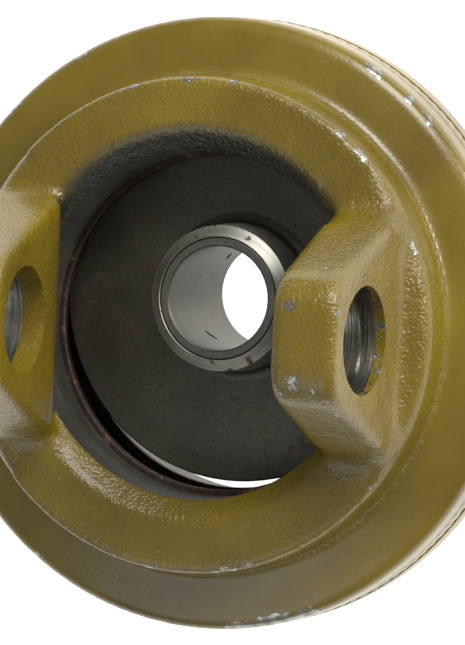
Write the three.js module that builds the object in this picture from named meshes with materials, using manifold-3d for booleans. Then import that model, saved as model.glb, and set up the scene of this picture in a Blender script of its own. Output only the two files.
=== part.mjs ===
// Centre housing of a wide-angle constant-velocity drive shaft joint.
// Two forged yokes are welded rim to rim around a floating guide disc.
// Millimetres, +Z up. The joint axis is Z and the ears lie along X.
import * as THREE from 'three';
import { mergeVertices } from 'three/addons/utils/BufferGeometryUtils.js';
import Module from 'manifold-3d';

const wasm = await Module();
wasm.setup();

// Driving dimensions
const clearance = 0.3;
const roundSteps = 72;

const rimRadius = 87;
const rimHalfHeight = 10.6;
const flangeEdgeRadius = 85.2;
const flangeEdgeHeight = 13.4;
const collarRadius = 70;
const collarFootHeight = 16.8;
const collarTop = 31.5;
const openingRadius = 49.3;
const openingChamfer = 5;

const earInnerX = 39.7;
const earOuterRootX = 61.5;
const earOuterTipX = 58.8;
const earTip = 78.5;
const earRootHalfWidth = 35;
const earTipHalfWidth = 15.5;
const earTipRound = 7;
const earScoopX = 50.5;

const earBoreRadius = 15.1;
const earBoreHeight = 57.5;
const snapGrooveRadius = 16.3;
const snapGrooveX = 54.6;
const snapGrooveWidth = 1.8;

const cavityRadius = 76;
const wallEnd = 6.6;
const rearWallEnd = 9.6;
const weldGrooveInner = 83;
const weldGrooveHalf = 3.8;

const discRadius = 52.6;
const discFront = 3.5;
const discRear = 6.5;
const discOffsetX = 4.4;
const discOffsetY = 7.6;
const hubRadius = 20.6;
const hubRoot = 21.2;
const hubHalf = 22.6;
const hubChamfer = 2.3;
const hubSeat = 17.4;
const hubBore = 14.7;
const weldLeg = 2.8;

const ringInner = 47.6;
const ringThickness = 2.4;

const dowelCircle = 79.5;
const dowelRadius = 2;
const dowelHalf = 5;
const dowelCount = 4;

const nippleX = -78;
const nippleSeat = 14.2;
const nippleRadius = 3;
const spotFaceRadius = 5.6;
const hexagonRadius = 4.6;
const hexagonHeight = 3.4;
const passageRadius = 1.1;
const ballRadius = 1;

// Turns a three.js geometry into a closed manifold body.
function toBody(geometry) {
  const bare = new THREE.BufferGeometry();
  bare.setAttribute('position', geometry.getAttribute('position'));
  bare.setIndex(geometry.getIndex());
  const merged = mergeVertices(bare, 1e-4);
  const vertProperties = new Float32Array(merged.getAttribute('position').array);
  const triVerts = new Uint32Array(merged.getIndex().array);
  return new wasm.Manifold(new wasm.Mesh({ numProp: 3, vertProperties, triVerts }));
}

// Turns a manifold body back into a three.js geometry.
function toGeometry(body) {
  const mesh = body.getMesh();
  const geometry = new THREE.BufferGeometry();
  geometry.setAttribute('position', new THREE.BufferAttribute(new Float32Array(mesh.vertProperties), 3));
  geometry.setIndex(new THREE.BufferAttribute(new Uint32Array(mesh.triVerts), 1));
  geometry.computeVertexNormals();
  return geometry;
}

// A turned shape about Z from a closed [radius, height] outline.
function turned(outline, steps = roundSteps) {
  const points = outline.map(([radius, height]) => new THREE.Vector2(radius, height));
  points.push(points[0].clone());
  return new THREE.LatheGeometry(points, steps).rotateX(Math.PI / 2);
}

// A round bar along X, centred at (x, 0, z).
function barAlongX(radius, length, x, z, steps = 48) {
  return new THREE.CylinderGeometry(radius, radius, length, steps).rotateZ(Math.PI / 2).translate(x, 0, z);
}

// A round bar along Z, centred at (x, y, z).
function uprightBar(radius, length, x, y, z, steps = 48) {
  return new THREE.CylinderGeometry(radius, radius, length, steps).rotateX(Math.PI / 2).translate(x, y, z);
}

function named(name, geometry, color, roughness, metalness) {
  const material = new THREE.MeshStandardMaterial({ color, roughness, metalness });
  const mesh = new THREE.Mesh(geometry, material);
  mesh.name = name;
  return mesh;
}

// Turns a piece made for the upper side over when side is -1.
function facing(side, mesh) {
  mesh.rotation.x = side < 0 ? Math.PI : 0;
  return mesh;
}

const finish = {
  enamel: [0x8b7a2e, 0.42, 0.1],
  machined: [0x8f8d88, 0.35, 0.9],
  disc: [0x4b4744, 0.5, 0.8],
  bush: [0x3a3733, 0.45, 0.7],
  rust: [0x5d4030, 0.8, 0.3],
  weld: [0x86752f, 0.5, 0.2],
  zinc: [0xb8b4a6, 0.3, 0.9],
};

// The round part of one yoke: rim, flange, collar, opening and half of the disc cavity.
// The opening's wall stops at innerEnd, which lies deeper in the rear yoke.
function yokeRound(innerEnd) {
  const seam = clearance / 2;
  return turned([
    [cavityRadius, seam],
    [weldGrooveInner, seam],
    [rimRadius, weldGrooveHalf],
    [rimRadius, rimHalfHeight],
    [flangeEdgeRadius + 0.7, flangeEdgeHeight - 0.7],
    [flangeEdgeRadius, flangeEdgeHeight],
    [collarRadius + 1.2, collarFootHeight - 0.2],
    [collarRadius + 0.3, collarFootHeight + 0.8],
    [collarRadius, collarTop - 2],
    [collarRadius - 0.6, collarTop - 0.6],
    [collarRadius - 2, collarTop],
    [openingRadius + openingChamfer, collarTop],
    [openingRadius + 1, collarTop - openingChamfer + 1],
    [openingRadius, collarTop - openingChamfer],
    [openingRadius, innerEnd],
    [cavityRadius, innerEnd],
  ]);
}

// Side outline of an ear in X and Z, run along Y.
function earSide() {
  const shape = new THREE.Shape();
  shape.moveTo(earInnerX, earTip - 1.5);
  shape.lineTo(earInnerX, collarTop + 1);
  shape.lineTo(earScoopX, wallEnd + 5);
  shape.lineTo(collarRadius - 4, wallEnd + 5);
  shape.lineTo(collarRadius - 3, collarTop - 1);
  shape.quadraticCurveTo(earOuterRootX, collarTop, earOuterRootX - 0.3, collarTop + 7);
  shape.lineTo(earOuterTipX, earTip - 1.5);
  shape.lineTo(earOuterTipX - 1.5, earTip);
  shape.lineTo(earInnerX + 1.5, earTip);
  shape.closePath();
  const depth = 120;
  const geometry = new THREE.ExtrudeGeometry(shape, { depth, bevelEnabled: false, curveSegments: 6 });
  return geometry.rotateX(Math.PI / 2).translate(0, depth / 2, 0);
}

// Front outline of an ear in Y and Z, run along X: a wide foot and a narrow rounded tip.
function earFront() {
  const slope = (earRootHalfWidth - earTipHalfWidth) / (earTip - collarTop);
  const edgeAt = (z) => earRootHalfWidth - slope * (z - collarTop);
  const shape = new THREE.Shape();
  shape.moveTo(-earRootHalfWidth - 9, wallEnd + 4);
  shape.lineTo(earRootHalfWidth + 9, wallEnd + 4);
  shape.lineTo(earRootHalfWidth + 7, collarTop - 0.5);
  shape.quadraticCurveTo(earRootHalfWidth + 1, collarTop, edgeAt(collarTop + 7), collarTop + 7);
  shape.lineTo(edgeAt(earTip - earTipRound), earTip - earTipRound);
  shape.quadraticCurveTo(earTipHalfWidth, earTip, earTipHalfWidth - earTipRound, earTip);
  shape.lineTo(-earTipHalfWidth + earTipRound, earTip);
  shape.quadraticCurveTo(-earTipHalfWidth, earTip, -edgeAt(earTip - earTipRound), earTip - earTipRound);
  shape.lineTo(-edgeAt(collarTop + 7), collarTop + 7);
  shape.quadraticCurveTo(-earRootHalfWidth - 1, collarTop, -earRootHalfWidth - 7, collarTop - 0.5);
  shape.closePath();
  const depth = 60;
  const geometry = new THREE.ExtrudeGeometry(shape, { depth, bevelEnabled: false, curveSegments: 6 });
  return geometry.rotateX(Math.PI / 2).rotateZ(Math.PI / 2).translate(20, 0, 0);
}

// One ear with its cross-bearing bore and snap ring groove.
function ear() {
  const blank = toBody(earSide()).intersect(toBody(earFront()));
  const inCollar = toBody(uprightBar(collarRadius - 1, 200, 0, 0, 0, roundSteps));
  return blank
    .intersect(inCollar)
    .subtract(toBody(barAlongX(earBoreRadius, 60, 50, earBoreHeight)))
    .subtract(toBody(barAlongX(snapGrooveRadius, snapGrooveWidth, snapGrooveX, earBoreHeight)));
}

// Blind holes for the locating dowels in the mating face.
function dowelPlace(index) {
  const angle = (index + 0.5) * (2 * Math.PI / dowelCount);
  return [dowelCircle * Math.cos(angle), dowelCircle * Math.sin(angle)];
}

function dowelHoles() {
  let holes = null;
  for (let index = 0; index < dowelCount; index += 1) {
    const [x, y] = dowelPlace(index);
    const height = 2 * (dowelHalf + clearance);
    const hole = toBody(uprightBar(dowelRadius + clearance, height, x, y, 0, 20));
    holes = holes ? holes.add(hole) : hole;
  }
  return holes;
}

function yokeBody(innerEnd) {
  const rightEar = ear();
  const leftEar = rightEar.rotate([0, 0, 180]);
  return toBody(yokeRound(innerEnd)).add(rightEar).add(leftEar).subtract(dowelHoles());
}

// Hole for the grease nipple: a spot face, the tapped hole and a bent passage into the cavity.
function nippleHole() {
  const spotFace = toBody(uprightBar(spotFaceRadius, 6, nippleX, 0, nippleSeat + 3, 32));
  const tapped = toBody(uprightBar(nippleRadius + clearance, 7, nippleX, 0, nippleSeat - 3, 32));
  const down = toBody(uprightBar(passageRadius, 6, nippleX, 0, nippleSeat - 8, 16));
  const across = toBody(barAlongX(passageRadius, 6, nippleX + 3, wallEnd / 2 + 1.2, 16));
  return spotFace.add(tapped).add(down).add(across);
}

function frontYoke() {
  return named('front_yoke', toGeometry(yokeBody(wallEnd).subtract(nippleHole())), ...finish.enamel);
}

function rearYoke() {
  return facing(-1, named('rear_yoke', toGeometry(yokeBody(rearWallEnd)), ...finish.enamel));
}

// Weld bead that fills the groove between the two rims and stands a little proud.
function rimWeld() {
  const reach = weldGrooveHalf * 0.82;
  const crown = rimRadius + 0.5;
  return named('rim_weld', turned([
    [weldGrooveInner + 0.5, 0],
    [rimRadius - 0.3, -reach],
    [crown - 0.1, -reach * 0.5],
    [crown, 0],
    [crown - 0.1, reach * 0.5],
    [rimRadius - 0.3, reach],
  ]), ...finish.weld);
}

function locatingDowel(index) {
  const [x, y] = dowelPlace(index);
  const mesh = named(`locating_dowel_${index + 1}`, turned([
    [0, -dowelHalf],
    [dowelRadius - 0.5, -dowelHalf],
    [dowelRadius, -dowelHalf + 0.6],
    [dowelRadius, dowelHalf - 0.6],
    [dowelRadius - 0.5, dowelHalf],
    [0, dowelHalf],
  ], 20), ...finish.machined);
  mesh.position.set(x, y, 0);
  return mesh;
}

// Flat hardened ring that the disc rubs against.
function wearRing(name, side, innerEnd) {
  const top = innerEnd - clearance / 2;
  const low = top - ringThickness;
  return facing(side, named(name, turned([
    [ringInner, low],
    [cavityRadius - clearance, low],
    [cavityRadius - clearance, top],
    [ringInner + 0.5, top],
    [ringInner, top - 0.5],
  ]), ...finish.rust));
}

function guideDisc() {
  return named('guide_disc', turned([
    [hubRoot + clearance, -discRear],
    [discRadius - 0.6, -discRear],
    [discRadius, -discRear + 0.6],
    [discRadius, discFront - 0.6],
    [discRadius - 0.6, discFront],
    [hubRoot + clearance, discFront],
  ]), ...finish.disc);
}

// Sleeve through the disc, chamfered outside at both ends.
function hubSleeve() {
  return named('hub_sleeve', turned([
    [hubSeat, -hubHalf],
    [hubSeat + 0.2, -hubHalf],
    [hubRadius, -hubHalf + hubChamfer],
    [hubRoot, -discRear],
    [hubRoot, discFront],
    [hubRadius, hubHalf - hubChamfer],
    [hubSeat + 0.2, hubHalf],
    [hubSeat, hubHalf],
  ]), ...finish.machined);
}

// Fillet weld between the disc and the sleeve.
function hubWeld(name, side, discFace) {
  const inner = hubRoot + clearance;
  const foot = discFace + clearance;
  return facing(side, named(name, turned([
    [inner, foot],
    [inner + weldLeg, foot],
    [inner + weldLeg * 0.4, foot + weldLeg * 0.33],
    [inner, foot + weldLeg],
  ]), ...finish.disc));
}

// Liner pressed through the whole sleeve, in which both guide balls slide.
function hubBush() {
  const outer = hubHalf - 0.2;
  const chamfer = 0.4;
  return named('hub_bush', turned([
    [hubBore, -outer + chamfer],
    [hubBore + chamfer, -outer],
    [hubSeat - clearance, -outer],
    [hubSeat - clearance, outer],
    [hubBore + chamfer, outer],
    [hubBore, outer - chamfer],
  ]), ...finish.bush);
}

// Grease nipple on the flange: shank, hexagon and head round a bore with a ball in its mouth.
function greaseNipple() {
  const base = nippleSeat + clearance;
  const shank = toBody(uprightBar(nippleRadius, 6, nippleX, 0, base - 2.5, 32));
  const hexagon = toBody(uprightBar(hexagonRadius, hexagonHeight, nippleX, 0, base + hexagonHeight / 2, 6));
  const head = toBody(new THREE.CylinderGeometry(2.4, 3.2, 5.5, 32).rotateX(Math.PI / 2)
    .translate(nippleX, 0, base + 5.9));
  const seat = toBody(uprightBar(1.3, 5, nippleX, 0, base + 7, 20));
  const passage = toBody(uprightBar(0.8, 16, nippleX, 0, base + 1, 16));
  return named('grease_nipple', toGeometry(shank.add(hexagon).add(head).subtract(seat).subtract(passage)),
    ...finish.zinc);
}

function nippleBall() {
  const mesh = named('nipple_ball', new THREE.SphereGeometry(ballRadius, 16, 10), ...finish.machined);
  mesh.position.set(nippleX, 0, nippleSeat + clearance + 7.2);
  return mesh;
}

// Assembly
const part = new THREE.Group();
const housing = new THREE.Group();
housing.add(frontYoke(), rearYoke(), rimWeld());
for (let index = 0; index < dowelCount; index += 1) {
  housing.add(locatingDowel(index));
}
housing.add(greaseNipple(), nippleBall());

const rings = new THREE.Group();
rings.add(wearRing('front_wear_ring', 1, wallEnd), wearRing('rear_wear_ring', -1, rearWallEnd));

const floating = new THREE.Group();
floating.add(guideDisc(), hubSleeve(), hubBush());
floating.add(hubWeld('front_hub_weld', 1, discFront), hubWeld('rear_hub_weld', -1, discRear));
floating.position.set(discOffsetX, discOffsetY, 0);

part.add(housing, rings, floating);
part.position.z = earTip;

export default part;
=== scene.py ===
import math

import bmesh
import bpy
from mathutils import Matrix, Vector
from mathutils import noise as fieldNoise


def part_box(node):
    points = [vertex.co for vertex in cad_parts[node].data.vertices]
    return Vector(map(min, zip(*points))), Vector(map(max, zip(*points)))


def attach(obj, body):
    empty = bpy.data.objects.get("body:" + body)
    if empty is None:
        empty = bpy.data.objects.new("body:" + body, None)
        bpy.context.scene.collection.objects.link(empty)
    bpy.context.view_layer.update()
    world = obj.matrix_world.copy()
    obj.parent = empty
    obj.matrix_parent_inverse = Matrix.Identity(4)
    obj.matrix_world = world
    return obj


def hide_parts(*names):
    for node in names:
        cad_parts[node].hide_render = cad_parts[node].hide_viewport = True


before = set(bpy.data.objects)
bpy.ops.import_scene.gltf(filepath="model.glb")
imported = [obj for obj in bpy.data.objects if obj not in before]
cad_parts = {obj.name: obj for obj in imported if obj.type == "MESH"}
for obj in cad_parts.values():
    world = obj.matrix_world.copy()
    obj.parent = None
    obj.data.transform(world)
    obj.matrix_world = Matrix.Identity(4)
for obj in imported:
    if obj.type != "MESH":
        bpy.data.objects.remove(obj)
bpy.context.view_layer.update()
mm = 0.001
print("frame loaded")

# Both yokes, in millimetres. Heights count from the parting plane between them.
housing = {
    "midHeight": 78.5,
    "rimRadius": 87.0, "rimTop": 10.4,
    "flangeRadius": 84.9, "flangeTop": 13.6,
    "collarRadius": 70.0, "collarFoot": 16.8, "collarTop": 31.5,
    "openingRadius": 49.3, "openingMouth": 54.6, "openingFloor": 26.4,
    "cavityRadius": 76.0, "wallEnd": 6.6, "rearWallEnd": 9.6,
    "seam": 0.15, "grooveInner": 83.0, "grooveHalf": 3.8,
    "voxel": 1.15, "spinSteps": 240,
    "cutterBottom": -6, "cutterRadius": 110,
}
ears = {
    "innerX": 39.7, "outerRootX": 61.5, "outerTipX": 58.8, "scoopX": 50.5, "scoopFloor": 11.6,
    "tip": 78.5, "rootHalfWidth": 35.0, "tipHalfWidth": 15.5, "tipRound": 7.5, "edgeRound": 3.0,
    "footX": 56.0, "spareWidth": 12,
    "boreRadius": 15.1, "boreHeight": 57.5, "oversprayX": 46.6, "mouthX": 58.4,
    "snapRadius": 16.3, "snapX": 54.6, "snapWidth": 1.8,
    "cutterFrom": 20, "cutterTo": 80,
}
spotFace = {"x": -78.0, "radius": 5.6, "height": 14.2, "cutterLength": 8}
dowels = {"circle": 79.5, "hole": 2.3, "reach": 5.3, "count": 4}

# Camera: degrees off the joint axis, metres from the collar face, millimetres of lens.
cameraSet = {
    "turn": 19.7, "lift": 2.63, "roll": 2.59,
    "distance": 1.75, "besideX": -0.0117, "besideY": -0.0008, "farthest": 20,
    "focal": 348.5, "sensor": 36.0,
}


def makeCamera(spec):
    turn, lift, roll = (math.radians(spec[key]) for key in ("turn", "lift", "roll"))
    back = Vector((math.sin(turn) * math.cos(lift), math.sin(lift), math.cos(turn) * math.cos(lift)))
    right = Vector((0, 1, 0)).cross(back).normalized()
    up = back.cross(right)
    rolledRight = math.cos(roll) * right + math.sin(roll) * up
    rolledUp = -math.sin(roll) * right + math.cos(roll) * up
    data = bpy.data.cameras.new("camera")
    data.sensor_width = spec["sensor"]
    data.lens = spec["focal"]
    data.clip_end = spec["farthest"]
    camera = bpy.data.objects.new("camera", data)
    bpy.context.scene.collection.objects.link(camera)
    faceCentre = Vector((0, 0, (housing["midHeight"] + housing["collarTop"]) * mm))
    place = faceCentre + back * spec["distance"] - rolledRight * spec["besideX"] - rolledUp * spec["besideY"]
    turned = Matrix((rolledRight, rolledUp, back)).transposed().to_4x4()
    camera.matrix_world = Matrix.Translation(place) @ turned
    bpy.context.scene.camera = camera


makeCamera(cameraSet)


# Turns an sRGB hex colour into linear values with full alpha.
def linear(hexColour):
    channels = [int(hexColour[i:i + 2], 16) / 255 for i in (1, 3, 5)]
    return [c / 12.92 if c <= 0.04045 else ((c + 0.055) / 1.055) ** 2.4 for c in channels] + [1.0]


def newMaterial(name):
    material = bpy.data.materials.new(name)
    material.use_nodes = True
    material.node_tree.nodes.clear()
    return material


# Settings are sockets by name or number, the node's own properties, or a ramp's stops.
def addNode(material, kind, settings=None, links=None):
    node = material.node_tree.nodes.new(kind)
    for key, value in (settings or {}).items():
        if key == "stops":
            for element, (place, colour) in zip(node.color_ramp.elements, value):
                element.position = place
                element.color = linear(colour)
        elif isinstance(key, int) or key in node.inputs:
            node.inputs[key].default_value = value
        else:
            setattr(node, key, value)
    for key, source in (links or {}).items():
        if isinstance(source, bpy.types.Node):
            source = source.outputs[0]
        material.node_tree.links.new(source, node.inputs[key])
    return node


def turnMesh(mesh, angle, axis):
    bmesh.ops.rotate(mesh, verts=mesh.verts, cent=(0, 0, 0), matrix=Matrix.Rotation(angle, 3, axis))


# Spins an outline of (radius, height) points in millimetres into a closed mesh round Z or X.
def spinOutline(outline, steps, axis="Z", centre=(0, 0, 0)):
    mesh = bmesh.new()
    placed = [mesh.verts.new((radius * mm, 0, height * mm)) for radius, height in outline]
    edges = [mesh.edges.new((placed[i - 1], placed[i])) for i in range(len(placed))
             if i or outline[0][0] > 0]
    bmesh.ops.spin(mesh, geom=placed + edges, cent=(0, 0, 0), axis=(0, 0, 1), dvec=(0, 0, 0),
                   angle=2 * math.pi, steps=steps, use_merge=True, use_duplicate=False)
    bmesh.ops.remove_doubles(mesh, verts=mesh.verts, dist=0.001 * mm)
    bmesh.ops.recalc_face_normals(mesh, faces=mesh.faces)
    if axis == "X":
        turnMesh(mesh, math.pi / 2, "Y")
    bmesh.ops.translate(mesh, verts=mesh.verts, vec=Vector(centre) * mm)
    return mesh


def toObject(mesh, name):
    data = bpy.data.meshes.new(name)
    mesh.to_mesh(data)
    mesh.free()
    made = bpy.data.objects.new(name, data)
    bpy.context.scene.collection.objects.link(made)
    return made


# Turns the object's modifiers into plain mesh.
def settle(made):
    bpy.context.view_layer.update()
    evaluated = made.evaluated_get(bpy.context.evaluated_depsgraph_get())
    finished = bpy.data.meshes.new_from_object(evaluated)
    old = made.data
    made.modifiers.clear()
    made.data = finished
    bpy.data.meshes.remove(old)


def carveWith(made, cutter, operation="DIFFERENCE"):
    carve = made.modifiers.new("carve", "BOOLEAN")
    carve.operation = operation
    carve.solver = "MANIFOLD"
    carve.object = cutter
    settle(made)
    bpy.data.objects.remove(cutter)


def smoothShade(made, angle=32):
    made.data.polygons.foreach_set("use_smooth", [True] * len(made.data.polygons))
    made.data.set_sharp_from_angle(angle=math.radians(angle))


def arcPoints(centreR, centreZ, radius, start, end, steps):
    angles = [math.radians(start + (end - start) * i / steps) for i in range(steps + 1)]
    return [(centreR + radius * math.cos(a), centreZ + radius * math.sin(a)) for a in angles]


# Rim, flange and collar of one yoke as forged, with a pilot hole for the opening.
def forgingRound():
    rimRound = housing["rimRadius"] - housing["flangeRadius"] + 0.6
    return spinOutline(
        [(housing["openingRadius"] - 3, -2), (housing["rimRadius"], -2)]
        + arcPoints(housing["rimRadius"] - rimRound, housing["rimTop"], rimRound, 0, 62, 5)
        + [(housing["flangeRadius"] - 1, housing["flangeTop"] + 0.1),
           (housing["collarRadius"] + 1.4, housing["collarFoot"] - 0.1),
           (housing["collarRadius"] + 0.3, housing["collarFoot"] + 0.9),
           (housing["collarRadius"], housing["collarTop"] - 2.2)]
        + arcPoints(housing["collarRadius"] - 2, housing["collarTop"] - 2, 2, 20, 90, 4)
        + [(housing["openingMouth"] + 0.8, housing["collarTop"]),
           (housing["openingMouth"] - 0.8, housing["collarTop"] - 1),
           (housing["openingRadius"] + 0.4, housing["openingFloor"] + 0.6),
           (housing["openingRadius"] - 3, housing["openingFloor"] - 4)],
        housing["spinSteps"])


# Cuts away everything beyond a plane and closes the cut.
def cutOff(mesh, point, normal):
    cut = bmesh.ops.bisect_plane(mesh, geom=mesh.verts[:] + mesh.edges[:] + mesh.faces[:], dist=1e-7,
                                 plane_co=point, plane_no=normal, clear_outer=True)
    rim = [g for g in cut["geom_cut"] if isinstance(g, bmesh.types.BMEdge)]
    bmesh.ops.contextual_create(mesh, geom=rim)


# One ear: a side outline drawn out across, its flanks cut to a taper and its edges rounded.
def forgedEar():
    top = housing["collarTop"]
    outline = [(ears["innerX"], ears["tip"]), (ears["innerX"], top + 1), (ears["scoopX"], ears["scoopFloor"]),
               (ears["footX"], ears["scoopFloor"]), (ears["footX"], top - 3), (ears["outerRootX"] + 0.4, top),
               (ears["outerTipX"], ears["tip"])]
    mesh = bmesh.new()
    reach = ears["rootHalfWidth"] + ears["spareWidth"]
    corners = [mesh.verts.new((x * mm, -reach * mm, z * mm)) for x, z in outline]
    side = mesh.faces.new(corners)
    grown = bmesh.ops.extrude_face_region(mesh, geom=[side])
    moved = [v for v in grown["geom"] if isinstance(v, bmesh.types.BMVert)]
    bmesh.ops.translate(mesh, verts=moved, vec=(0, 2 * reach * mm, 0))
    lean = math.atan2(ears["rootHalfWidth"] - ears["tipHalfWidth"], ears["tip"] - top)
    for way in (-1, 1):
        point = Vector((0, way * ears["rootHalfWidth"] * mm, top * mm))
        normal = Vector((0, way * math.cos(lean), math.sin(lean)))
        cutOff(mesh, point, normal)
    bmesh.ops.recalc_face_normals(mesh, faces=mesh.faces)
    tipEdges = [edge for edge in mesh.edges
                if all(v.co.z > (ears["tip"] - 0.5) * mm for v in edge.verts)
                and abs(edge.verts[0].co.y - edge.verts[1].co.y) < 1e-6]
    bmesh.ops.bevel(mesh, geom=tipEdges, offset=ears["tipRound"] * mm, offset_type="OFFSET", segments=6,
                    profile=0.5, affect="EDGES", material=-1)
    longEdges = [edge for edge in mesh.edges
                 if all(v.co.z > (top + 0.5) * mm for v in edge.verts) and len(edge.link_faces) == 2
                 and edge.calc_face_angle(0) > math.radians(30)]
    bmesh.ops.bevel(mesh, geom=longEdges, offset=ears["edgeRound"] * mm, offset_type="OFFSET", segments=4,
                    profile=0.5, affect="EDGES", clamp_overlap=True, material=-1)
    bmesh.ops.recalc_face_normals(mesh, faces=mesh.faces)
    return mesh


# Everything that is machined out of the forging: opening, cavity, weld groove, ear bores, pin holes.
def machiningCutters(wallEnd):
    bottom, top = housing["cutterBottom"], housing["collarTop"] + 0.2
    wall, steps = housing["openingRadius"], housing["spinSteps"]
    opening = spinOutline([(0, bottom), (wall, bottom), (wall, top), (0, top)], steps)
    slope = math.atan2(ears["scoopX"] - ears["innerX"], housing["collarTop"] + 1 - ears["scoopFloor"])
    for way in (-1, 1):
        point = Vector((way * ears["innerX"] * mm, 0, (housing["collarTop"] + 1) * mm))
        normal = Vector((way * math.cos(slope), 0, math.sin(slope)))
        cutOff(opening, point, normal)
    bmesh.ops.recalc_face_normals(opening, faces=opening.faces)
    room = housing["cavityRadius"]
    cavity = spinOutline([(0, bottom), (room, bottom), (room, wallEnd), (0, wallEnd)], steps)
    outside, grooveInner, seamTop = housing["cutterRadius"], housing["grooveInner"], housing["seam"]
    grooveSlope = housing["grooveHalf"] / (housing["rimRadius"] - grooveInner)
    seam = spinOutline([(0, bottom), (outside, bottom), (outside, (outside - grooveInner) * grooveSlope),
                        (grooveInner, seamTop), (0, seamTop)], steps)
    snapFrom, snapTo = ears["snapX"] - ears["snapWidth"] / 2, ears["snapX"] + ears["snapWidth"] / 2
    bore, groove = ears["boreRadius"], ears["snapRadius"]
    boreOutline = [(0, ears["cutterFrom"]), (bore, ears["cutterFrom"]), (bore, ears["oversprayX"]),
                   (bore, snapFrom), (groove, snapFrom), (groove, snapTo), (bore, snapTo),
                   (bore, ears["mouthX"]), (bore, ears["cutterTo"]), (0, ears["cutterTo"])]
    bores = []
    for way in (-1, 1):
        bores.append(spinOutline([(radius, way * x) for radius, x in boreOutline], 96, "X",
                                 (0, 0, ears["boreHeight"])))
    pins = []
    for index in range(dowels["count"]):
        angle = (index + 0.5) * 2 * math.pi / dowels["count"]
        centre = (dowels["circle"] * math.cos(angle), dowels["circle"] * math.sin(angle), 0)
        pins.append(spinOutline([(0, bottom), (dowels["hole"], bottom), (dowels["hole"], dowels["reach"]),
                                 (0, dowels["reach"])], 24, "Z", centre))
    return [opening, cavity, seam] + bores + pins


# Puts several meshes into one object without merging them.
def joinMeshes(meshes, name):
    whole = bmesh.new()
    for mesh in meshes:
        piece = bpy.data.meshes.new("piece")
        mesh.to_mesh(piece)
        mesh.free()
        whole.from_mesh(piece)
        bpy.data.meshes.remove(piece)
    return toObject(whole, name)


# Both yokes start as this one forging: ears kept inside the collar, then all skinned together.
def forgeBlank():
    rightEar = forgedEar()
    leftEar = rightEar.copy()
    turnMesh(leftEar, math.pi, "Z")
    bothEars = joinMeshes([rightEar, leftEar], "ears")
    inside = housing["collarRadius"] - 0.5
    inCollar = spinOutline([(0, 0), (inside, 0), (inside, 100), (0, 100)], housing["spinSteps"])
    carveWith(bothEars, toObject(inCollar, "collarSpace"), "INTERSECT")
    earMesh = bmesh.new()
    earMesh.from_mesh(bothEars.data)
    bpy.data.objects.remove(bothEars)
    blank = joinMeshes([forgingRound(), earMesh], "forging")
    remesh = blank.modifiers.new("skin", "REMESH")
    remesh.mode = "VOXEL"
    remesh.voxel_size = housing["voxel"] * mm
    settle(blank)
    soften(blank)
    print("forging skinned", len(blank.data.polygons))
    return blank


# Forged corners: all of them a little, and the roots of the ears a lot, in millimetres.
softening = {"passes": 4, "rootPasses": 24, "rootFromX": 36, "rootHalfWidth": 46, "below": 3, "above": 9}


def smoothPoints(mesh, points, passes):
    for _ in range(passes):
        bmesh.ops.smooth_vert(mesh, verts=points, factor=0.5,
                              use_axis_x=True, use_axis_y=True, use_axis_z=True)


def soften(yoke):
    top = housing["collarTop"]
    mesh = bmesh.new()
    mesh.from_mesh(yoke.data)
    smoothPoints(mesh, mesh.verts, softening["passes"])
    roots = [v for v in mesh.verts
             if abs(v.co.x) > softening["rootFromX"] * mm and abs(v.co.y) < softening["rootHalfWidth"] * mm
             and (top - softening["below"]) * mm < v.co.z < (top + softening["above"]) * mm]
    smoothPoints(mesh, roots, softening["rootPasses"])
    mesh.to_mesh(yoke.data)
    mesh.free()


# Chips in the paint round the collar and the rim: angle and half width in degrees, strength.
collarChips = [(21, 2.5, 1.0), (37, 1.2, 0.8), (47, 2.6, 1.0), (53, 2.4, 1.0), (82, 1.6, 0.8), (93, 3.0, 1.0),
               (109, 3.4, 0.9), (121, 1.6, 0.8), (263, 3.0, 0.9), (283, 5.5, 1.0), (201, 3.0, 0.8),
               (240, 2.0, 0.7), (322, 3.0, 0.8)]
rimChips = [(45, 1.6, 1.0), (50, 1.2, 0.9), (59, 2.4, 1.0), (121, 1.6, 0.9), (137, 2.2, 0.9), (285, 8.5, 1.3),
            (12, 2.2, 0.9), (205, 3.0, 0.9), (338, 2.4, 0.9), (165, 2.0, 0.8), (234, 2.4, 0.8)]
# Knocks on the ears: place and reach in millimetres, strength.
earScuffs = [((59, 8, 77), 3.0, 1.0), ((45, 9, 78), 3.4, 1.0), ((41, -4, 78), 2.6, 0.9),
             ((40.5, -9, 77.5), 3.2, 1.0), ((47, -12, 78), 4.0, 1.1), ((53, -14, 77), 2.4, 0.9),
             ((42, -14, 75), 3.0, 1.0), ((55, -17, 73), 3.2, 0.9), ((57, -21, 67), 3.0, 1.0),
             ((58, -25, 59), 2.8, 0.9), ((59, -28, 51), 3.0, 0.9), ((52, 19, 68), 2.6, 0.8),
             ((46, 20, 66), 2.2, 0.8), ((49, 25, 56), 2.8, 0.8), ((56, 26, 54), 2.6, 0.8),
             ((-41, 12, 77), 3.0, 1.0), ((-50, -13, 78), 3.6, 1.0), ((-58, -18, 71), 3.0, 1.0)]
# General wear along each kind of edge: reach in millimetres and strength. Knocks are scaled by knock,
# and wear round an ear bore starts outside boreFromX.
edgeWear = {
    "collar": (3.2, 0.32), "rim": (4.2, 0.26), "collarFoot": (2.0, 0.36), "bore": (1.6, 0.5), "boreFromX": 50,
    "tipReach": 3.4, "flankReach": 3.0, "flankLean": 0.415,
    "lowerSide": 0.675, "upperSide": 0.4, "knock": 0.74,
}
# How strongly the forging's grain shows under the paint; the flange was machined smooth.
castGrain = {"forged": 1.0, "flange": 0.16}
# Where overspray didn't reach: a ring round the opening that widens towards its upper side.
bareZone = {"turn": 6, "radius": 50.5, "width": 3.5, "widthAbove": 5.5, "rise": 1.5, "fade": 0.8}


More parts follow.
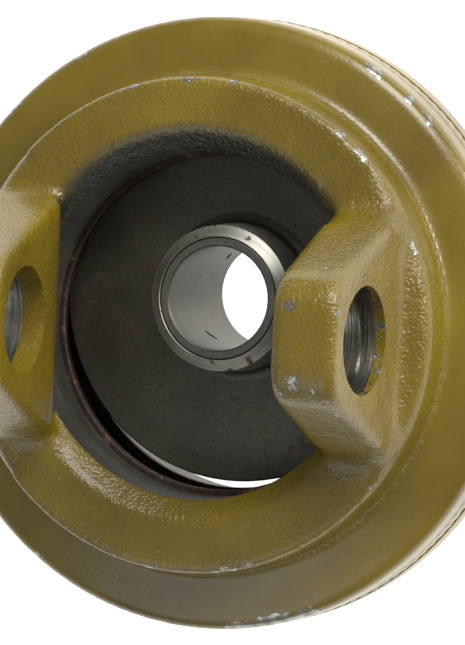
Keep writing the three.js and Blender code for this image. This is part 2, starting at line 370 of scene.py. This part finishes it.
# A chip fades out over 1.6 times its half width.
def chipAmount(angle, chips):
    amount = 0.0
    for centre, halfWidth, strength in chips:
        gap = abs((angle - centre + 180) % 360 - 180)
        amount = max(amount, strength * max(0.0, 1 - (gap / (halfWidth * 1.6)) ** 2))
    return amount


def nearEdge(radius, height, edgeRadius, edgeHeight, reach):
    return max(0.0, 1 - math.hypot(radius - edgeRadius, height - edgeHeight) / reach)


def ringWear(radius, z, angle):
    collarReach, collarWear = edgeWear["collar"]
    rimReach, rimWear = edgeWear["rim"]
    footReach, footWear = edgeWear["collarFoot"]
    onCollar = nearEdge(radius, z, housing["collarRadius"] - 0.4, housing["collarTop"] - 0.6, collarReach)
    onRim = nearEdge(radius, z, housing["rimRadius"] - 0.8, housing["rimTop"] + 1.6, rimReach)
    atFoot = nearEdge(radius, z, housing["collarRadius"] + 0.3, housing["collarFoot"] + 0.9, footReach)
    return max(onCollar * chipAmount(angle, collarChips), onRim * chipAmount(angle, rimChips),
               onCollar * collarWear, onRim * rimWear, atFoot * footWear)


def earWear(x, y, z):
    above = z - housing["collarTop"]
    fullHeight = ears["tip"] - housing["collarTop"]
    outerX = ears["outerRootX"] + (ears["outerTipX"] - ears["outerRootX"]) * above / fullHeight
    halfWidth = ears["rootHalfWidth"] - above * edgeWear["flankLean"]
    fromFaces = (abs(x) - outerX, abs(x) - ears["innerX"])
    tipGap = min(math.hypot(across, z - ears["tip"]) for across in fromFaces)
    flankGap = min(math.hypot(across, abs(y) - halfWidth) for across in fromFaces)
    edge = max(1 - tipGap / edgeWear["tipReach"], 1 - flankGap / edgeWear["flankReach"], 0)
    amount = edgeWear["lowerSide" if y < 0 else "upperSide"] * edge
    if abs(x) > edgeWear["boreFromX"]:
        boreReach, boreWear = edgeWear["bore"]
        boreGap = abs(math.hypot(y, z - ears["boreHeight"]) - ears["boreRadius"])
        amount = max(amount, boreWear * max(0, 1 - boreGap / boreReach))
    for place, reach, strength in earScuffs:
        gap = math.dist((x, y, z), place)
        amount = max(amount, edgeWear["knock"] * strength * (1 - (gap / reach) ** 2))
    return amount


# Stores how worn, how grainy and how bare the enamel is at each point of a yoke.
def paintWear(yoke, turnChips):
    data = yoke.data
    layers = [data.attributes.new(name, "FLOAT", "POINT").data for name in ("wear", "castSkin", "bareSteel")]
    wearLayer, castLayer, bareLayer = layers
    for index, vertex in enumerate(data.vertices):
        x, y, z = vertex.co / mm
        radius = math.hypot(x, y)
        angle = math.degrees(math.atan2(y, x)) + turnChips
        amount = ringWear(radius, z, angle)
        if z > housing["collarTop"] + 4:
            amount = max(amount, earWear(x, y, z))
        wearLayer[index].value = amount
        flange = radius > housing["collarRadius"] + 1.2 and z < housing["collarFoot"] + 1
        castLayer[index].value = castGrain["flange" if flange else "forged"]
        upper = max(0.0, math.sin(math.radians(angle - bareZone["turn"])))
        inwards = 1 - abs(radius - bareZone["radius"]) / (bareZone["width"] + bareZone["widthAbove"] * upper)
        mouth = max(0.0, inwards) if z < housing["collarTop"] + bareZone["rise"] else 0.0
        bareLayer[index].value = mouth * upper ** bareZone["fade"]
    print("wear painted")


# Bored and turned faces show steel; everything else keeps its enamel.
def assignFinishes(yoke, wallEnd, enamel, turnedSteel, boredSteel):
    yoke.data.materials.clear()
    for material in (enamel, turnedSteel, boredSteel):
        yoke.data.materials.append(material)
    for face in yoke.data.polygons:
        x, y, z = face.center / mm
        radius = math.hypot(x, y)
        fromBore = math.hypot(y, z - ears["boreHeight"])
        atGroove = abs(abs(x) - ears["snapX"]) < ears["snapWidth"] / 2 + 0.1
        inGroove = atGroove and fromBore < ears["snapRadius"] + 0.2
        inBore = fromBore < ears["boreRadius"] + 0.12 and abs(face.normal.x) < 0.4
        outwards = (face.normal.x * x + face.normal.y * y) / max(radius, 1)
        if ears["oversprayX"] < abs(x) < ears["mouthX"] and (inBore or inGroove):
            face.material_index = 2
        elif z < wallEnd + 0.1 and radius < housing["grooveInner"]:
            face.material_index = 1
        elif abs(radius - housing["openingRadius"]) < 0.35 and outwards < -0.9:
            face.material_index = 1
        else:
            face.material_index = 0


# The enamel's colours, and how large each of its patterns is.
enamelLook = {
    "shade": "#5d4e0c", "light": "#736213",       # olive-yellow, thinner and thicker coats
    "scale": "#2b2b27", "scaleLight": "#4b4a43",  # black forging skin where the spray missed
    "steel": "#55544e", "steelLight": "#a3a29a",  # bare metal in the chips
    "blastGrain": 1.0, "lumpGrain": 4.5, "cloudGrain": 38.0, "chipGrain": 2.6,   # mm
    "relief": 0.36,                               # mm
}


# Gloss enamel sprayed on a shot-blasted forging: pinheads of light over a pitted olive skin, and
# chips down to grey steel.
def oliveEnamel(look):
    material = newMaterial("olive gloss enamel on blasted forging")
    place = addNode(material, "ShaderNodeTexCoord").outputs["Object"]
    wear = addNode(material, "ShaderNodeAttribute", {"attribute_name": "wear"}).outputs["Fac"]
    castSkin = addNode(material, "ShaderNodeAttribute", {"attribute_name": "castSkin"}).outputs["Fac"]
    bareSteel = addNode(material, "ShaderNodeAttribute", {"attribute_name": "bareSteel"}).outputs["Fac"]
    blast = addNode(material, "ShaderNodeTexNoise", {"Scale": 1 / (look["blastGrain"] * mm), "Detail": 2.0},
                    {"Vector": place})
    lumps = addNode(material, "ShaderNodeTexNoise", {"Scale": 1 / (look["lumpGrain"] * mm), "Detail": 2.0},
                    {"Vector": place})
    cloud = addNode(material, "ShaderNodeTexNoise", {"Scale": 1 / (look["cloudGrain"] * mm), "Detail": 4.0},
                    {"Vector": place})
    flake = addNode(material, "ShaderNodeTexNoise",
                    {"Scale": 1 / (look["chipGrain"] * mm), "Detail": 5.0, "Roughness": 0.65},
                    {"Vector": place})
    paint = addNode(material, "ShaderNodeValToRGB", {"stops": [(0.34, look["shade"]), (0.66, look["light"])]},
                    {"Fac": cloud})
    steel = addNode(material, "ShaderNodeValToRGB",
                    {"stops": [(0.3, look["steel"]), (0.7, look["steelLight"])]}, {"Fac": flake})
    scale = addNode(material, "ShaderNodeValToRGB",
                    {"stops": [(0.3, look["scale"]), (0.7, look["scaleLight"])]}, {"Fac": blast})
    # Chips break out where the wear and the flake pattern are both high.
    ragged = addNode(material, "ShaderNodeMath", {"operation": "MULTIPLY_ADD", 1: 2.4, 2: -0.55}, {0: flake})
    chipped = addNode(material, "ShaderNodeMath", {"operation": "MULTIPLY"}, {0: wear, 1: ragged})
    chip = addNode(material, "ShaderNodeMapRange", {"From Min": 0.40, "From Max": 0.43}, {"Value": chipped})
    # Overspray thins out towards the upper side of the opening.
    speckle = addNode(material, "ShaderNodeMath", {"operation": "MULTIPLY", 1: 0.35}, {0: blast})
    thin = addNode(material, "ShaderNodeMath", {"operation": "ADD"}, {0: bareSteel, 1: speckle})
    bare = addNode(material, "ShaderNodeMapRange", {"From Min": 0.38, "From Max": 0.85}, {"Value": thin})
    coated = addNode(material, "ShaderNodeMix", {"data_type": "RGBA"}, {0: bare, 6: paint, 7: scale})
    colour = addNode(material, "ShaderNodeMix", {"data_type": "RGBA"},
                     {0: chip, 6: coated.outputs[2], 7: steel})
    halfBare = addNode(material, "ShaderNodeMath", {"operation": "MULTIPLY", 1: 0.55}, {0: bare})
    metal = addNode(material, "ShaderNodeMath", {"operation": "MAXIMUM"}, {0: chip, 1: halfBare})
    gloss = addNode(material, "ShaderNodeMapRange", {"To Min": 0.22, "To Max": 0.36}, {"Value": lumps})
    pitted = addNode(material, "ShaderNodeMath", {"operation": "ADD"}, {0: blast, 1: lumps})
    skin = addNode(material, "ShaderNodeMath", {"operation": "MULTIPLY"}, {0: pitted, 1: castSkin})
    sunk = addNode(material, "ShaderNodeMath", {"operation": "MULTIPLY_ADD", 1: -0.35}, {0: chip, 2: skin})
    relief = addNode(material, "ShaderNodeBump", {"Distance": look["relief"] * mm}, {"Height": sunk})
    shader = addNode(material, "ShaderNodeBsdfPrincipled", {"Coat Weight": 0.12, "Coat Roughness": 0.1},
                     {"Base Color": colour.outputs[2], "Metallic": metal, "Roughness": gloss,
                      "Normal": relief})
    addNode(material, "ShaderNodeOutputMaterial", links={"Surface": shader})
    return material


# The disc and its hub stand off the housing's axis, round the centre of the sleeve.
sleeveLow, sleeveHigh = (Vector(corner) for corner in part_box("hub_sleeve"))
discCentre = (sleeveLow + sleeveHigh) / 2
# A lathe leaves fine rings round its axis; marks is the stretch that draws them.
aroundZ = (0.05, 0.05, 1.0)
aroundX = (1.0, 0.05, 0.05)
noLay = (1.0, 1.0, 1.0)
steels = {
    # Turned once and left to the air: dull grey with faint rings.
    "turned opening wall": {"dark": "#6b6a64", "light": "#92918a", "rust": "#4a3325", "marks": aroundZ,
                            "gloss": (0.44, 0.6), "rustFrom": 0.62, "relief": 0.05},
    # Rough-bored for a pressed cup: bright and dark streaks along the tool's path.
    "bored ear steel": {"dark": "#55544e", "light": "#b9b8b0", "rust": "#6a5032", "marks": aroundX,
                        "gloss": (0.22, 0.36), "rustFrom": 0.66, "relief": 0.16},
    # Rolled plate wiped with grease: near-black satin with brown freckles.
    "greased plate steel": {"dark": "#4b4a44", "light": "#5c5b52", "rust": "#46301f", "marks": noLay,
                            "gloss": (0.4, 0.55), "rustFrom": 0.63, "relief": 0.04},
    # Turned hub: warm light grey with a few rust specks.
    "turned hub steel": {"dark": "#85847c", "light": "#a9a89f", "rust": "#4f3527", "marks": aroundZ,
                         "gloss": (0.4, 0.56), "rustFrom": 0.61, "relief": 0.05},
    # Quenched and wiped: the liner's flat end, a shade darker than the sleeve.
    "hardened liner steel": {"dark": "#5a5953", "light": "#716f68", "rust": "#4a382c", "marks": noLay,
                             "gloss": (0.42, 0.56), "rustFrom": 0.62, "relief": 0.03},
    # Honed for the guide balls: a soft even shine.
    "honed bore steel": {"dark": "#5a5954", "light": "#696861", "rust": "#54463a", "marks": aroundZ,
                         "gloss": (0.4, 0.5), "rustFrom": 0.66, "relief": 0.02},
    # Sheet ring with a skin of dry rust: matt grey-brown, redder in spots.
    "browned ring steel": {"dark": "#352d28", "light": "#56483e", "rust": "#5c4334", "marks": noLay,
                           "gloss": (0.5, 0.7), "rustFrom": 0.6, "relief": 0.06},
    # Yellow-passivated zinc on the nipple: pale straw with a soft sparkle.
    "passivated zinc": {"dark": "#a9a078", "light": "#cfc8a2", "rust": "#8a8468", "marks": noLay,
                        "gloss": (0.24, 0.36), "rustFrom": 0.7, "relief": 0.02},
    # Ground and hardened pins and ball: smooth and bright.
    "ground pin steel": {"dark": "#8a8984", "light": "#b2b1ab", "rust": "#5a4434", "marks": aroundZ,
                         "gloss": (0.2, 0.34), "rustFrom": 0.72, "relief": 0.02},
}
steelGrain = {"mark": 0.8, "cloud": 16.0, "spot": 2.8}   # mm; marks are drawn coarse so that they show


def steelFinish(name, centre=Vector((0, 0, 0))):
    look = steels[name]
    material = newMaterial(name)
    place = addNode(material, "ShaderNodeTexCoord").outputs["Object"]
    middle = addNode(material, "ShaderNodeMapping", {"Location": -centre}, {"Vector": place})
    lay = addNode(material, "ShaderNodeMapping", {"Scale": look["marks"]}, {"Vector": middle})
    marks = addNode(material, "ShaderNodeTexNoise", {"Scale": 1 / (steelGrain["mark"] * mm), "Detail": 2.0},
                    {"Vector": lay})
    cloud = addNode(material, "ShaderNodeTexNoise",
                    {"Scale": 1 / (steelGrain["cloud"] * mm), "Detail": 5.0, "Roughness": 0.6},
                    {"Vector": middle})
    spots = addNode(material, "ShaderNodeTexNoise",
                    {"Scale": 1 / (steelGrain["spot"] * mm), "Detail": 4.0, "Roughness": 0.6},
                    {"Vector": middle})
    tone = addNode(material, "ShaderNodeMix", {"data_type": "FLOAT", 0: 0.5}, {2: cloud, 3: marks})
    steel = addNode(material, "ShaderNodeValToRGB", {"stops": [(0.36, look["dark"]), (0.64, look["light"])]},
                    {"Fac": tone})
    rusting = addNode(material, "ShaderNodeMath", {"operation": "ADD", 1: 0.5}, {0: cloud})
    rusted = addNode(material, "ShaderNodeMath", {"operation": "MULTIPLY"}, {0: rusting, 1: spots})
    rust = addNode(material, "ShaderNodeMapRange",
                   {"From Min": look["rustFrom"], "From Max": look["rustFrom"] + 0.06}, {"Value": rusted})
    colour = addNode(material, "ShaderNodeMix", {"data_type": "RGBA", 7: linear(look["rust"])},
                     {0: rust, 6: steel})
    metal = addNode(material, "ShaderNodeMapRange", {"To Min": 0.95, "To Max": 0.25}, {"Value": rust})
    gloss = addNode(material, "ShaderNodeMapRange", {"To Min": look["gloss"][0], "To Max": look["gloss"][1]},
                    {"Value": cloud})
    relief = addNode(material, "ShaderNodeBump", {"Distance": look["relief"] * mm}, {"Height": marks})
    shader = addNode(material, "ShaderNodeBsdfPrincipled",
                     links={"Base Color": colour.outputs[2], "Metallic": metal, "Roughness": gloss,
                            "Normal": relief})
    addNode(material, "ShaderNodeOutputMaterial", links={"Surface": shader})
    return material


enamel = oliveEnamel(enamelLook)
wallSteel = steelFinish("turned opening wall")
boreSteel = steelFinish("bored ear steel")


# The front yoke also gets a spot face under the grease nipple.
def makeYoke(blank, name, node, side, wallEnd, turnChips):
    yoke = bpy.data.objects.new(name, blank.data.copy())
    bpy.context.scene.collection.objects.link(yoke)
    for cutter in machiningCutters(wallEnd):
        carveWith(yoke, toObject(cutter, "cutter"))
    paintWear(yoke, turnChips)
    assignFinishes(yoke, wallEnd, enamel, wallSteel, boreSteel)
    turn = Matrix.Identity(4) if side > 0 else Matrix.Rotation(math.pi, 4, "X")
    yoke.data.transform(Matrix.Translation((0, 0, housing["midHeight"] * mm)) @ turn)
    if side > 0:
        radius, depth = spotFace["radius"], spotFace["cutterLength"]
        spot = spinOutline([(0, 0), (radius, 0), (radius, depth), (0, depth)], 48, "Z",
                           (spotFace["x"], 0, housing["midHeight"] + spotFace["height"]))
        carveWith(yoke, toObject(spot, "spot"))
    smoothShade(yoke)
    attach(yoke, "housing")
    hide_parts(node)
    print(name, len(yoke.data.polygons))


rearChipTurn = 70   # degrees, so that the two yokes don't wear alike
blank = forgeBlank()
makeYoke(blank, "frontYokeForging", "front_yoke", 1, housing["wallEnd"], 0)
makeYoke(blank, "rearYokeForging", "rear_yoke", -1, housing["rearWallEnd"], rearChipTurn)
bpy.data.objects.remove(blank)
print("yokes made")

# Floating disc, hub and rings, in millimetres.
discAt = tuple(discCentre / mm)
disc = {"radius": 52.6, "front": 3.5, "rear": 6.5, "hole": 21.5}
hub = {"radius": 20.6, "root": 21.2, "half": 22.6, "chamfer": 2.3, "seat": 17.4, "bore": 14.7}
ring = {"inner": 47.6, "outer": 75.7, "thickness": 2.4, "play": 0.15}

discSteel = steelFinish("greased plate steel", discCentre)
hubSteel = steelFinish("turned hub steel", discCentre)
bushFace = steelFinish("hardened liner steel", discCentre)
bushBore = steelFinish("honed bore steel", discCentre)
rustyRing = steelFinish("browned ring steel")


# Gives a made piece its finish, the body that it moves with, and the node that it stands in for.
def finishPiece(made, body, node, material=None, angle=32):
    if material:
        made.data.materials.append(material)
    smoothShade(made, angle)
    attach(made, body)
    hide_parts(node)


def makeDisc():
    outline = ([(disc["hole"], -disc["rear"])]
               + arcPoints(disc["radius"] - 0.7, -disc["rear"] + 0.7, 0.7, -90, 0, 3)
               + arcPoints(disc["radius"] - 0.7, disc["front"] - 0.7, 0.7, 0, 90, 3)
               + [(disc["hole"], disc["front"])])
    made = toObject(spinOutline(outline, 220, "Z", discAt), "floatingDisc")
    finishPiece(made, "disc", "guide_disc", discSteel)


def makeSleeve():
    end = [(hub["seat"], hub["half"] - 0.2), (hub["seat"] + 0.2, hub["half"]),
           (hub["radius"], hub["half"] - hub["chamfer"])]
    outline = (end + [(hub["root"], disc["front"]), (hub["root"], -disc["rear"])]
               + [(radius, -height) for radius, height in reversed(end)])
    made = toObject(spinOutline(outline, 160, "Z", discAt), "hubSleeveBody")
    finishPiece(made, "disc", "hub_sleeve", hubSteel)


# Oil slots in the liner: angle in degrees, height from the hub's middle and half length in millimetres.
oilSlots = [(232, 1.5, 2.5), (133, -13.0, 1.5)]
slotCut = {"depth": 1.2, "halfWidth": 0.8, "lean": 0.93}   # lean in radians off the bore's axis


def makeLiner():
    outer = hub["half"] - 0.2
    upper = [(hub["seat"] - 0.3, outer - 0.2), (hub["seat"] - 0.5, outer), (hub["bore"] + 0.4, outer),
             (hub["bore"], outer - 0.4)]
    outline = upper + [(r, -z) for r, z in reversed(upper)]
    made = toObject(spinOutline(outline, 160, "Z", discAt), "hubLiner")
    for angle, height, length in oilSlots:
        slot = bmesh.new()
        bmesh.ops.create_uvsphere(slot, u_segments=24, v_segments=14, radius=1 * mm)
        bmesh.ops.scale(slot, verts=slot.verts, vec=(slotCut["depth"], slotCut["halfWidth"], length))
        turnMesh(slot, slotCut["lean"], "X")
        bmesh.ops.translate(slot, verts=slot.verts, vec=(hub["bore"] * mm, 0, height * mm))
        turnMesh(slot, math.radians(angle), "Z")
        bmesh.ops.translate(slot, verts=slot.verts, vec=discCentre)
        carveWith(made, toObject(slot, "slot"))
    made.data.materials.clear()
    for material in (bushFace, bushBore):
        made.data.materials.append(material)
    for face in made.data.polygons:
        away = face.center - discCentre
        face.material_index = 1 if math.hypot(away.x, away.y) < (hub["bore"] + 0.35) * mm else 0
    finishPiece(made, "disc", "hub_bush")


# Hollow fillet: each step is a way out from the sleeve and a height over the disc. The weld is
# sunk a little into the sleeve, so that no light passes between them.
hubFillet = {"sunk": 0.15, "gap": 0.3,
             "steps": [(0, 0), (2.8, 0), (1.9, 0.5), (1.0, 1.0), (0.4, 1.8), (0, 2.8)]}


def makeHubWeld(name, node, side):
    inner = hub["root"] - hubFillet["sunk"]
    foot = (disc["front"] if side > 0 else disc["rear"]) + hubFillet["gap"]
    outline = [(inner + out, side * (foot + over)) for out, over in hubFillet["steps"]]
    made = toObject(spinOutline(outline, 180, "Z", discAt), name)
    finishPiece(made, "disc", node, discSteel, 50)


def makeWearRing(name, node, body, side, wallEnd):
    top = wallEnd - ring["play"]
    low = top - ring["thickness"]
    outline = [(ring["inner"], side * low), (ring["outer"], side * low), (ring["outer"], side * top),
               (ring["inner"] + 0.5, side * top), (ring["inner"], side * (top - 0.5))]
    made = toObject(spinOutline(outline, 220, "Z", (0, 0, housing["midHeight"])), name)
    finishPiece(made, body, node, rustyRing)


# Flat bead round the rim, in millimetres. Ripples is how many there are round the whole rim, and
# unevenScale is how many slow waves there are in a metre.
rimBead = {"reach": 3.1, "crown": 0.45, "sunk": 0.35, "rootDepth": 0.5, "ripples": 150, "rippleBend": 2.2,
           "rippleHeight": 0.10, "unevenHeight": 0.12, "unevenScale": 90, "lowered": 0.14}


def makeRimWeld():
    crown = housing["rimRadius"]
    bow = [math.radians(a) for a in range(-90, 91, 18)]
    outline = [(housing["grooveInner"] + rimBead["rootDepth"], 0)] + [
        (crown + rimBead["crown"] * math.cos(angle) - rimBead["sunk"], rimBead["reach"] * math.sin(angle))
        for angle in bow]
    mesh = spinOutline(outline, 720, "Z", (0, 0, housing["midHeight"]))
    for vertex in mesh.verts:
        away = Vector((vertex.co.x, vertex.co.y, 0))
        if away.length > (crown - 1) * mm:
            angle = math.atan2(away.y, away.x)
            height = (vertex.co.z / mm - housing["midHeight"]) / rimBead["reach"]
            phase = angle * rimBead["ripples"] + rimBead["rippleBend"] * height * height
            ripple = rimBead["rippleHeight"] * math.sin(phase)
            uneven = rimBead["unevenHeight"] * fieldNoise.noise(vertex.co * rimBead["unevenScale"])
            vertex.co -= away.normalized() * (rimBead["lowered"] - ripple - uneven) * mm
    made = toObject(mesh, "rimWeldBead")
    finishPiece(made, "housing", "rim_weld", enamel, 60)


makeDisc()
makeSleeve()
makeLiner()
makeHubWeld("frontHubFillet", "front_hub_weld", 1)
makeHubWeld("rearHubFillet", "rear_hub_weld", -1)
makeWearRing("frontRingPlate", "front_wear_ring", "front_ring", 1, housing["wallEnd"])
makeWearRing("rearRingPlate", "rear_wear_ring", "rear_ring", -1, housing["rearWallEnd"])
makeRimWeld()
print("disc, hub and rings made")

# Nipple, ball and dowels keep their own shapes and get a finish.
zinc = steelFinish("passivated zinc")
pinSteel = steelFinish("ground pin steel")
smallPieces = {"grease_nipple": zinc, "nipple_ball": pinSteel}
for index in range(dowels["count"]):
    smallPieces[f"locating_dowel_{index + 1}"] = pinSteel
for node, material in smallPieces.items():
    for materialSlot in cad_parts[node].material_slots:
        materialSlot.material = material

# Pale floor and soft lamps round the part; lengths in metres, powers in watts.
studio = {
    "floorSize": 6.0, "floorColour": "#f4f4f2", "floorGlow": 0.8, "ambient": 0.34, "aimHeight": 0.1,
    # name, place, width, power, colour
    "lamps": [("key", (1.35, 0.75, 0.8), 0.5, 23, "#fff8ea"),
              ("top", (0.45, 1.2, 1.15), 0.6, 18, "#ffffff"),
              ("fill", (-0.4, -1.1, 1.3), 1.1, 6, "#f6f9ff")],
}


def makeFloor():
    mesh = bmesh.new()
    bmesh.ops.create_grid(mesh, x_segments=1, y_segments=1, size=studio["floorSize"] / 2)
    floor = toObject(mesh, "floor")
    material = newMaterial("pale studio floor")
    shader = addNode(material, "ShaderNodeBsdfPrincipled",
                     {"Base Color": linear(studio["floorColour"]), "Roughness": 0.8,
                      "Emission Color": (1, 1, 1, 1), "Emission Strength": studio["floorGlow"]})
    addNode(material, "ShaderNodeOutputMaterial", links={"Surface": shader})
    floor.data.materials.append(material)


def makeLights():
    world = bpy.data.worlds.new("surroundings")
    world.use_nodes = True
    background = world.node_tree.nodes["Background"]
    background.inputs["Color"].default_value = (1, 1, 1, 1)
    background.inputs["Strength"].default_value = studio["ambient"]
    bpy.context.scene.world = world
    target = Vector((0, 0, studio["aimHeight"]))
    for name, place, width, power, colour in studio["lamps"]:
        data = bpy.data.lights.new(name, "AREA")
        data.size = width
        data.energy = power
        data.color = linear(colour)[:3]
        lamp = bpy.data.objects.new(name, data)
        lamp.location = place
        lamp.rotation_euler = (target - Vector(place)).to_track_quat("-Z", "Y").to_euler()
        bpy.context.scene.collection.objects.link(lamp)


makeFloor()
makeLights()
bpy.context.scene.view_settings.view_transform = "Standard"
print("studio lit")
